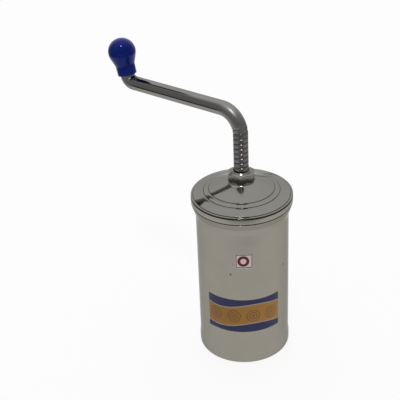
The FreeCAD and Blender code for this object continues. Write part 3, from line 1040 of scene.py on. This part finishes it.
@dataclass
class Labels(SubAssembly):
    """Printed label and size sticker, wrapped on the barrel's wall."""

    wall: float = 45.02
    thickness: float = 0.12
    columns: int = 96
    rows: int = 40
    corner: float = 0.8
    corner_pull: float = 0.55
    bubble: float = 0.035
    bubble_slant: Span = (9.0, 2.0)
    bubble_rows: Span = (5.0, 1.0)
    peel_area: float = 18.0
    crease: float = 50.0
    films: tuple[Film, ...] = (
        Film("printed_front_label", "front_label", (-142.0, -45.0), (38.5, 76.5), 0.35, LABEL, Slot.PRINT),
        Film("size_mark_sticker", "size_sticker", (-102.5, -80.8), (113.8, 129.8), 0.12, FILM, Slot.FILM),
    )

    def lattice(self, film: Film) -> Skin:
        """Both sides of a film with rounded corners, small bubbles and one lifted corner.

        Args:
            film: the film.

        Returns:
            The skin, still open at the film's left and right edges.
        """
        u, v = np.meshgrid(np.linspace(0, 1, self.columns), np.linspace(0, 1, self.rows))
        width = math.radians(film.turn[1] - film.turn[0]) * self.wall
        height = film.rise[1] - film.rise[0]
        side_x, side_y = np.minimum(u, 1 - u) * width, np.minimum(v, 1 - v) * height
        pull = np.maximum(0, self.corner - side_x) * np.maximum(0, self.corner - side_y) / self.corner
        squeeze = 1 - self.corner_pull * pull / max(width, height)
        centred_u, centred_v = (u - 0.5) * squeeze + 0.5, (v - 0.5) * squeeze + 0.5
        angle = np.radians(film.turn[0] + (film.turn[1] - film.turn[0]) * centred_u)
        up = film.rise[0] + height * centred_v
        slant = np.sin(self.bubble_slant[0] * u + self.bubble_slant[1] * v)
        rows = np.sin(self.bubble_rows[0] * v + self.bubble_rows[1])
        swelling = slant * rows * np.sin(math.pi * u) * np.sin(math.pi * v)
        peel = film.lift * np.exp(-((u * width) ** 2 + (v * height) ** 2) / self.peel_area)
        lie = self.wall + np.maximum(self.bubble * swelling, 0) + peel
        back, front = (np.stack([reach * np.cos(angle), reach * np.sin(angle), up], axis=-1)
                       for reach in (lie, lie + self.thickness))
        lay = np.stack([u, v, np.zeros_like(u)], axis=-1)
        return Skin(np.concatenate([back, front[::-1]]), np.concatenate([lay, lay[::-1]]), columns_meet=False)

    def sheet(self, film: Film) -> bpy.types.Object:
        """Closed thin body of a film.

        Args:
            film: the film.

        Returns:
            The film's object.
        """
        piece = self.lattice(film).to_object(film.name, self.crease)
        closed = bmesh.new()
        closed.from_mesh(piece.data)
        bmesh.ops.holes_fill(closed, edges=[edge for edge in closed.edges if edge.is_boundary], sides=0)
        bmesh.ops.recalc_face_normals(closed, faces=closed.faces)
        closed.to_mesh(piece.data)
        closed.free()
        return piece

    def build(self) -> None:
        """Make both films."""
        for film in self.films:
            self.fit(self.sheet(film), film.finish, film.slot, film.node)


@dataclass
class Lid(SubAssembly):
    """Pressed lid with its threaded skirt and the nut at its centre."""

    body: str = "lid"
    seat: float = 170.0
    edge: float = 48.93
    edge_round: float = 0.62
    edge_foot_round: float = 0.55
    flange_top: float = 171.2
    flange_inner: float = 46.9
    edge_riser: Span = (0.2, 0.5)
    riser_rounds: Span = (0.08, 0.2)
    spun_lines: tuple[Span, ...] = ((36.7, 175.25), (31.75, 177.15))
    valley_width: float = 1.3
    valley_rise: float = 0.14
    valley_rounds: tuple[float, float, float] = (1.0, 0.3, 0.2)
    line_run: float = 0.35
    crown: float = 186.3
    collar: tuple[Corner, ...] = ((13.2, 184.95, 3.0), (11.3, 188.0), (10.0, 188.0))
    shank: float = 10.0
    sheet: float = 1.2
    # the first zone is a painted dark reflection on the turned edge; the second only roughens it
    edge_zones: tuple[Zone, ...] = (
        Zone(-1.0, 0.1, 0.1, darkening=0.9),
        Zone(0.15, 1.1, 0.1, roughening=0.11),
    )
    line_drop: float = 0.3
    # painted shade in each crease of the flange and the spun lines
    line_zone: Zone = Zone(-0.25, 0.5, 0.2, darkening=0.72)
    skirt_outer: float = 45.3
    skirt_inner: float = 44.0
    skirt_length: float = 11.0
    skirt_edges: Span = (0.3, 0.4)
    thread_depth: float = 0.55
    thread_margins: Span = (0.4, 0.2)
    flats: float = 23.9
    nut_turn: float = 22.5
    nut_foot: Span = (12.0, 185.4)
    nut_side: float = 187.6
    nut_side_round: float = 0.6
    nut_shoulder: float = 193.1
    nut_shoulder_round: float = 1.0
    nut_collar: Span = (10.4, 195.0)
    nut_crown: float = 8.8
    nut_crown_round: float = 0.8
    nut_top: float = 196.4
    nut_edge: float = 0.28
    bore: float = 7.2
    bore_chamfer: float = 0.6
    bore_edges: Span = (0.1, 0.2)
    shank_foot: float = 177.1
    shank_edge: float = 0.3
    columns: int = 288
    spacing: float = 2.0
    nut_columns: int = 360
    nut_spacing: float = 0.45

    def section(self) -> Points:
        """Section of the sheet: flat flange, a short riser, and a cone with spun lines up to the nut.

        Returns:
            The outline's points.
        """
        run, rise = self.edge_riser
        start = (self.flange_inner - run, self.flange_top + rise)
        under = beside([start, *self.spun_lines, (self.shank, self.crown)], self.sheet)
        slope = (under[1][1] - under[0][1]) / (under[1][0] - under[0][0])
        crossing = (self.skirt_inner, under[0][1] + slope * (self.skirt_inner - under[0][0]))
        corners: list[Corner] = [
            (self.skirt_inner, self.seat),
            (self.edge, self.seat, self.edge_foot_round),
            (self.edge, self.flange_top, self.edge_round),
            (self.flange_inner, self.flange_top, self.riser_rounds[0]),
            (*start, self.riser_rounds[1]),
        ]
        before = start
        foot_round, valley_round, line_round = self.valley_rounds
        for radius, height in self.spun_lines:
            pitch = (height - before[1]) / (before[0] - radius)
            valley = height - pitch * self.valley_width
            corners += [
                (radius + self.valley_width, valley, foot_round),
                (radius, valley + self.valley_rise, valley_round),
                (radius - self.line_run, height + pitch * self.line_run, line_round),
            ]
            before = (radius, height)
        return filled(rounded([*corners, *self.collar, *under[:0:-1], crossing], turn=FINE_TURN), self.spacing)

    def creased(self, outline: Points) -> Steel:
        """Lid's steel, with a painted dark reflection on its turned edge and painted shade in its creases.

        Args:
            outline: the sheet's section.

        Returns:
            The finish.
        """
        edge = run_to(outline, self.edge, (self.seat + self.flange_top) / 2)
        zones = [zone.moved(edge) for zone in self.edge_zones]
        for across, up in ((self.flange_inner, self.flange_top), *self.spun_lines):
            zones.append(self.line_zone.moved(run_to(outline, across, up - self.line_drop)))
        return replace(LID_SATIN, zones=tuple(zones))

    def skirt(self) -> bpy.types.Object:
        """Threaded ring under the lid.

        Returns:
            The ring's object.
        """
        low = self.seat - self.skirt_length
        outline = filled(rounded([
            (self.skirt_inner, low, self.skirt_edges[0]),
            (self.skirt_outer, low, self.skirt_edges[1]),
            (self.skirt_outer, self.seat),
            (self.skirt_inner, self.seat),
        ]), THREAD_STEP)
        lead_in, lead_out = self.thread_margins
        thread = Thread(self.skirt_outer, self.thread_depth, low + lead_in, self.seat - lead_out)
        return turned(outline, THREAD_COLUMNS, shaping=thread.shape).to_object("lid_skirt_thread")

    def flatted(self, across: Points, up: Points, angle: Points) -> tuple[Points, Points]:
        """Trim the nut's turned blank to its six flats, with their edges softened.

        Args:
            across: how far from the axis each point is.
            up: how high it is.
            angle: its angle round the axis.

        Returns:
            The new distances from the axis, and the heights.
        """
        turn = (angle - math.radians(self.nut_turn)) % (math.pi / 3) - math.pi / 6
        flats = self.flats / 2 / np.cos(turn)
        share = np.clip(0.5 + 0.5 * (flats - across) / self.nut_edge, 0, 1)
        return flats * (1 - share) + across * share - self.nut_edge * share * (1 - share), up

    def nut(self) -> bpy.types.Object:
        """Hexagonal nut, coned at both ends, and its shank through the lid.

        Returns:
            The nut's object.
        """
        corner = self.flats / 2 / math.cos(math.pi / 6)
        outline = filled(rounded([
            (self.shank, self.shank_foot, self.shank_edge),
            (self.shank, self.nut_foot[1]),
            self.nut_foot,
            (corner, self.nut_side, self.nut_side_round),
            (corner, self.nut_shoulder, self.nut_shoulder_round),
            (*self.nut_collar, self.nut_shoulder_round),
            (self.nut_crown, self.nut_top, self.nut_crown_round),
            (self.bore + self.bore_chamfer, self.nut_top, self.bore_edges[0]),
            (self.bore, self.nut_top - self.bore_chamfer),
            (self.bore, self.shank_foot, self.bore_edges[1]),
        ], turn=FINE_TURN), self.nut_spacing)
        return turned(outline, self.nut_columns, shaping=self.flatted).to_object("lid_centre_nut")

    def build(self) -> None:
        """Make the dome, the skirt and the nut, and paint the ring that clamps the nut."""
        outline = self.section()
        dome = turned(outline, self.columns).to_object("lid_dome_pressed")
        self.fit(dome, self.creased(outline), Slot.SATIN, "lid_dome")
        self.fit(self.skirt(), PLAIN, Slot.SATIN, "lid_thread_skirt")
        self.fit(self.nut(), BRIGHT, Slot.BRIGHT, "lid_nut")
        self.paint(PLAIN, "nut_backing_ring")


@dataclass
class Centreline:
    """Middle of a bent tube: its places, its headings there and how far along they are."""

    places: list[Vector] = field(default_factory=list)
    headings: list[Vector] = field(default_factory=list)
    lengths: list[float] = field(default_factory=list)
    length: float = 0.0

    def add(self, place: Vector, way: Vector, further: float = 0.0) -> None:
        """Add a place.

        Args:
            place: where it is.
            way: the tube's heading there.
            further: how far it is past the last leg's end.
        """
        self.places.append(place)
        self.headings.append(way)
        self.lengths.append(self.length + further)

    def straight(self, start: Vector, end: Vector, spacing: float) -> None:
        """Add a straight leg, without its end.

        Args:
            start: where it starts.
            end: where it ends.
            spacing: longest step between its places.
        """
        run = (end - start).length
        steps = max(1, math.ceil(run / spacing))
        for step in range(steps):
            self.add(start.lerp(end, step / steps), (end - start).normalized(), run * step / steps)
        self.length += run

    def bend(self, corner: Vector, arriving: Vector, leaving: Vector, radius: float, spacing: float) -> Vector:
        """Add a bend, without its end.

        Args:
            corner: where the legs' middles would cross.
            arriving: heading before the bend.
            leaving: heading after it.
            radius: the bend's radius.
            spacing: longest step between its places.

        Returns:
            Where the bend ends.
        """
        turn = arriving.angle(leaving)
        reach = radius * math.tan(turn / 2)
        centre = corner + (leaving - arriving).normalized() * math.hypot(radius, reach)
        side = (corner - arriving * reach - centre).normalized()
        steps = math.ceil(turn * radius / spacing)
        for step in range(steps):
            angle = turn * step / steps
            out, on = math.cos(angle), math.sin(angle)
            self.add(centre + (side * out + arriving * on) * radius, arriving * out - side * on, angle * radius)
        self.length += turn * radius
        return corner + leaving * reach


@dataclass
class Crank(SubAssembly):
    """Bent tube: screw, elbow, arm, knob bend and the stub that carries the knob.

    Each crush mark has its distance before the stub, its depth and its half length. The stub is left
    plain inside the knob, where the snap ring sits.
    """

    body: str = "crank"
    radius: float = 7.1
    wall: float = 1.6
    foot: float = 50.3
    elbow_height: float = 254.95
    elbow_radius: float = 21.2
    arm: float = 142.0
    droop: float = 2.0
    azimuth: float = 138.0
    knob_bend: float = 8.5
    lean: float = 13.0
    stub_end: float = 32.7
    pitch: float = 5.0
    thread_depth: float = 0.75
    thread_width: float = 0.37
    thread_phase: float = 0.19
    thread_foot: Span = (-2.0, 1.0)
    thread_top: Span = (188.0, 193.0)
    crush_marks: tuple[Corner, ...] = ((9.0, 0.28, 1.0), (12.2, 0.34, 1.1), (15.6, 0.22, 1.2))
    crush_width: float = 0.6
    crush_run: float = 22.0
    columns: int = 84
    bend_step: float = 0.5
    arm_step: float = 3.0
    stub_step: float = 1.5
    bore_every: int = 4

    def plane(self, rise: float) -> Vector:
        """Unit vector in the crank's own upright plane, at an angle above level in degrees."""
        return heading(self.azimuth, rise)

    def knob_seat(self) -> tuple[Vector, Vector]:
        """Where the knob's axis leaves the arm, and the way it points."""
        return UP * self.elbow_height + self.plane(-self.droop) * self.arm, self.plane(90 - self.lean)

    def centreline(self) -> Centreline:
        """Middle of the tube, with its places close together where its surface changes.

        Returns:
            The middle, from the screw's foot to the stub's end.
        """
        arm, elbow = self.plane(-self.droop), UP * self.elbow_height
        root, lean = self.knob_seat()
        elbow_reach = self.elbow_radius * math.tan(UP.angle(arm) / 2)
        knob_reach = self.knob_bend * math.tan(arm.angle(lean) / 2)
        before_knob = root - arm * knob_reach
        crushed = before_knob - arm * self.crush_run
        end = root + lean * self.stub_end
        middle = Centreline()
        middle.straight(UP * self.foot, elbow - UP * elbow_reach, THREAD_STEP)
        after_elbow = middle.bend(elbow, UP, arm, self.elbow_radius, self.bend_step)
        middle.straight(after_elbow, crushed, self.arm_step)
        middle.straight(crushed, before_knob, self.bend_step)
        after_knob = middle.bend(root, arm, lean, self.knob_bend, self.bend_step)
        middle.straight(after_knob, end, self.stub_step)
        middle.add(end, lean)
        return middle

    def reach(self, length: Points, ring: Points) -> Points:
        """Radius of the tube's outside, with its rolled thread and its crush marks.

        Args:
            length: how far along the tube each point is.
            ring: its angle round the tube, from the inside of the bends.

        Returns:
            The radius at each point.
        """
        cut = smooth_step(length, *self.thread_foot) * (1 - smooth_step(length, *self.thread_top))
        turns = (ring + math.radians(self.azimuth)) / FULL_TURN
        phase = length / self.pitch - turns + self.thread_phase
        reach = self.radius - self.thread_depth * cut * groove(phase, self.thread_width)
        outer = np.exp(-((ring - math.pi) / self.crush_width) ** 2)
        stub = length[-1, 0] - self.stub_end
        for offset, depth, spread in self.crush_marks:
            reach = reach - depth * outer * np.exp(-((length - (stub - offset)) / spread) ** 2)
        return reach

    def skin(self) -> Skin:
        """Outside and bore of the tube.

        Returns:
            The closed skin.
        """
        middle = self.centreline()
        places, headings = np.array(middle.places), np.array(middle.headings)
        lengths = np.array(middle.lengths)
        side = np.array(UP.cross(self.plane(0)))
        inward = np.cross(side[None, :], headings)
        ring = (np.arange(self.columns) * FULL_TURN / self.columns)[None, :]
        outward = inward[:, None, :] * np.cos(ring)[..., None] + side * np.sin(ring)[..., None]
        length = np.repeat(lengths[:, None], self.columns, axis=1)
        outer = places[:, None, :] + outward * self.reach(length, ring)[:, :, None]
        last = len(lengths) - 1
        kept = [*range(0, last - self.bore_every, self.bore_every), last]
        bore = places[kept][:, None, :] + outward[kept] * (self.radius - self.wall)
        azimuth = np.broadcast_to(ring + math.radians(self.azimuth), length.shape)
        lay = np.stack([np.cos(azimuth), np.sin(azimuth), length], axis=-1)
        return Skin(np.concatenate([outer, bore[::-1]]), np.concatenate([lay, lay[kept][::-1]]))

    def build(self) -> None:
        """Make the tube and paint what is fixed in it."""
        self.fit(self.skin().to_object("crank_bent_tube"), TUBE, Slot.BRIGHT, "crank_tube")
        self.paint(PLAIN, "screw_end_plug", "swivel_bolt", "knob_snap_ring")


@dataclass
class Knob(SubAssembly):
    """Moulded ball knob with a long neck, bored for the stub.

    The lip's corners count from the neck's radius at its end.
    """

    body: str = "knob"
    ball: float = 13.8
    neck_end: float = 9.5
    neck_top: float = 9.75
    neck_length: float = 10.0
    neck_fillet: float = 8.0
    lip: tuple[Span, ...] = ((0.04, 1.3), (0.02, 0.5), (-0.1, 0.08), (-0.4, 0.0))
    length: float = 36.9
    mouth: float = 7.9
    bore: float = 7.18
    bore_depth: float = 26.0
    chamfer: float = 0.9
    groove_low: float = 20.25
    groove_high: float = 22.15
    groove_radius: float = 8.35
    seam_inner: float = 8.5
    seam_turn: float = 0.9
    seam_width: float = 0.35
    seam_height: float = 0.05
    columns: int = 180
    ball_points: int = 44
    neck_turn: float = 3.0

    def outline(self) -> Points:
        """Section of the knob from the ball's top, down the cone and the neck, and up the bore.

        Returns:
            The outline's points.
        """
        centre = self.length - self.ball
        drop = np.array([self.neck_top, self.neck_length - centre])
        latitude = math.degrees(math.atan2(drop[1], drop[0]) + math.acos(self.ball / np.linalg.norm(drop)))
        arc = [(self.ball * math.sin(math.radians(angle)), centre + self.ball * math.cos(math.radians(angle)))
               for angle in np.linspace(0, 90 - latitude, self.ball_points)]
        neck = rounded([
            arc[-1],
            (self.neck_top, self.neck_length, self.neck_fillet),
            *((self.neck_end + out, up) for out, up in self.lip),
        ], closed=False, turn=self.neck_turn)
        bore = [
            (self.bore + self.chamfer, 0.0),
            (self.bore, 2 * self.chamfer),
            (self.bore, self.groove_low),
            (self.groove_radius, self.groove_low),
            (self.groove_radius, self.groove_high),
            (self.bore, self.groove_high),
            (self.bore, self.bore_depth),
            (0.0, self.bore_depth),
        ]
        return np.vstack([arc[:-1], neck, bore])

    def seamed(self, across: Points, up: Points, angle: Points) -> tuple[Points, Points]:
        """Raise the faint parting line of the mould on the outside.

        Args:
            across: how far from the axis each point is.
            up: how high it is.
            angle: its angle round the axis.

        Returns:
            The new distances from the axis, and the heights.
        """
        seam = np.exp(-(np.sin(angle - self.seam_turn) * across / self.seam_width) ** 2)
        return across + self.seam_height * seam * (across > self.seam_inner), up

    def build(self) -> None:
        """Make the knob and seat it on the stub."""
        skin = turned(self.outline(), self.columns, closed=False, shaping=self.seamed)
        piece = skin.to_object("knob_ball_and_neck")
        root, lean = Crank().knob_seat()
        turn = UP.rotation_difference(lean).to_matrix().to_4x4()
        piece.data.transform(Matrix.Translation((root + lean * self.mouth) * MM) @ turn)
        self.fit(piece, BLUE, Slot.PLASTIC, "knob")


@dataclass
class Plunger(SubAssembly):
    """Pressing cup, its hub and the washer under the screw."""

    body: str = "pressing_cup"

    def build(self) -> None:
        """Paint the CAD pieces, whose shapes are right as they are."""
        self.paint(PLAIN, "pressing_cup", "cup_hub", "thrust_washer")


# ---------------------------------------------------------------- studio


@dataclass(frozen=True)
class SkyPatch:
    """A soft patch of the studio's surroundings, placed by azimuth and elevation in degrees."""

    azimuth: float
    elevation: float
    inner: float
    outer: float
    level: float

    def share(self, bench: NodeBench, way: bpy.types.NodeSocket) -> bpy.types.NodeSocket:
        """How far the patch counts in a direction.

        Args:
            bench: the world's bench.
            way: socket of the direction.

        Returns:
            Socket of the share, from 0 to 1.
        """
        middle = heading(self.azimuth, self.elevation)
        facing = bench.vector("DOT_PRODUCT", way, middle).outputs["Value"]
        return bench.ramped(facing, math.cos(math.radians(self.outer)), math.cos(math.radians(self.inner)))


@dataclass
class Studio:
    """Camera, floor, surroundings and lamps. The white sheet lies on a darker table."""

    eye: tuple[float, float, float] = (-40.18, -829.75, 646.68)
    pitch: float = 30.15
    roll: float = -2.56
    lens: float = 90.0
    sensor: float = 36.0
    clip: Span = (0.01, 50.0)
    floor_half: float = 6000.0
    floor_tone: float = 0.95
    floor_roughness: float = 0.9
    table_tone: float = 0.28
    table_far_tone: float = 0.5
    table_far: float = -3000.0
    sheet_half: float = 560.0
    sheet_front: float = -335.0
    sheet_blur: float = 0.1
    whitening: float = 0.85
    surroundings: float = 1.06
    patches: tuple[SkyPatch, ...] = (
        SkyPatch(-90.0, 22.0, 30.0, 68.0, 0.28),
        SkyPatch(180.0, 9.0, 18.0, 57.0, 0.31),
        SkyPatch(-12.0, 14.0, 26.0, 56.0, 0.38),
    )
    lamp_azimuth: float = -98.0
    lamp_elevation: float = 66.0
    lamp_strength: float = 0.8
    lamp_spread: float = 10.0

    def camera(self) -> None:
        """Place the camera for a square picture."""
        pitch, roll = math.radians(self.pitch), math.radians(self.roll)
        forward = Vector((0, math.cos(pitch), -math.sin(pitch)))
        level, upright = Vector((1, 0, 0)), Vector((0, math.sin(pitch), math.cos(pitch)))
        right = level * math.cos(roll) + upright * math.sin(roll)
        up = upright * math.cos(roll) - level * math.sin(roll)
        data = bpy.data.cameras.new("studio_camera")
        data.lens, data.sensor_width = self.lens, self.sensor
        data.clip_start, data.clip_end = self.clip
        camera = bpy.data.objects.new("studio_camera", data)
        turn = Matrix((right, up, -forward)).transposed().to_4x4()
        camera.matrix_world = Matrix.Translation(Vector(self.eye) * MM) @ turn
        bpy.context.scene.collection.objects.link(camera)
        bpy.context.scene.camera = camera

    def off_sheet(self, bench: NodeBench, across: bpy.types.NodeSocket,
                  back: bpy.types.NodeSocket) -> bpy.types.NodeSocket:
        """How far the floor has run from the white sheet into the table.

        Args:
            bench: the floor's bench.
            across: socket of the place from left to right.
            back: socket of the place from front to back.

        Returns:
            Socket of the table's share, from 0 to 1.
        """
        half, front = self.sheet_half * MM, self.sheet_front * MM
        near, far = 1 - self.sheet_blur, 1 + self.sheet_blur
        aside = bench.ramped(bench.calc("ABSOLUTE", across), half * near, half * far)
        return bench.calc("MAXIMUM", aside, bench.ramped(back, front * far, front * near, 1.0, 0.0))

    def dress_floor(self, material: bpy.types.Material) -> None:
        """Make the floor's shader: pale to the light, and white where it is seen or reflected.

        Args:
            material: the floor's material, with nodes.
        """
        bench = NodeBench(material.node_tree)
        shader = material.node_tree.nodes["Principled BSDF"]
        across, back = bench.parts(bench.place())[:2]
        table_share = self.off_sheet(bench, across, back)
        distant = bench.ramped(back, self.table_far * MM, self.sheet_front * MM, 1.0, 0.0, smooth=False)
        table = bench.blended(distant, grey(self.table_tone), grey(self.table_far_tone))
        bench.join(shader, Base_Color=bench.blended(table_share, grey(self.floor_tone), table),
                   Roughness=self.floor_roughness, Specular_IOR_Level=0.0)
        seen = bench.add("LightPath").outputs
        mirrored = bench.calc("MAXIMUM", seen["Is Glossy Ray"], seen["Is Transmission Ray"])
        shown = bench.times(bench.calc("MAXIMUM", seen["Is Camera Ray"], mirrored), self.whitening)
        glow = bench.add("Emission", Color=bench.blended(table_share, grey(1.0), table))
        mixed = bench.add("MixShader", in0=shown, in1=shader.outputs[0], in2=glow.outputs[0])
        bench.join(material.node_tree.nodes["Material Output"], Surface=mixed.outputs[0])

    def floor(self) -> None:
        """Lay the floor."""
        half = self.floor_half * MM
        corners = [(-half, -half, 0), (half, -half, 0), (half, half, 0), (-half, half, 0)]
        mesh = bpy.data.meshes.new("studio_floor")
        mesh.from_pydata(corners, [], [range(len(corners))])
        floor = bpy.data.objects.new("studio_floor", mesh)
        bpy.context.scene.collection.objects.link(floor)
        material = bpy.data.materials.new("pale_floor")
        material.use_nodes = True
        self.dress_floor(material)
        mesh.materials.append(material)

    def sky(self) -> None:
        """Light the studio from all round, with softer and darker parts that metal can show."""
        world = bpy.data.worlds.new("studio_surroundings")
        world.use_nodes = True
        bpy.context.scene.world = world
        bench = NodeBench(world.node_tree)
        way = bench.add("TexCoord").outputs["Generated"]
        level: Any = grey(self.surroundings)
        for patch in self.patches:
            level = bench.blended(patch.share(bench, way), level, grey(patch.level))
        bench.join(world.node_tree.nodes["Background"], Color=level)

    def lamp(self) -> None:
        """Hang the main lamp high in front."""
        data = bpy.data.lights.new("high_front_lamp", "SUN")
        data.energy, data.angle = self.lamp_strength, math.radians(self.lamp_spread)
        lamp = bpy.data.objects.new("high_front_lamp", data)
        towards = heading(self.lamp_azimuth, self.lamp_elevation)
        lamp.rotation_mode = "QUATERNION"
        lamp.rotation_quaternion = towards.to_track_quat("Z", "Y")
        lamp.location = towards * 2
        bpy.context.scene.collection.objects.link(lamp)

    def build(self) -> None:
        """Set up the whole studio."""
        bpy.context.scene.view_settings.view_transform = "Standard"
        self.camera()
        self.floor()
        self.sky()
        self.lamp()


def main() -> None:
    """Build the studio and every sub-assembly, and report each piece."""
    logging.basicConfig(level=logging.INFO, format="%(name)s: %(message)s")
    Studio().build()
    for group in (Barrel(), Labels(), Lid(), Crank(), Knob(), Plunger()):
        group.build()
        for piece in group.made:
            log.info("%s: %s, %d faces, on %s",
                     type(group).__name__, piece.name, len(piece.data.polygons), group.body)


if __name__ == "__main__":
    main()
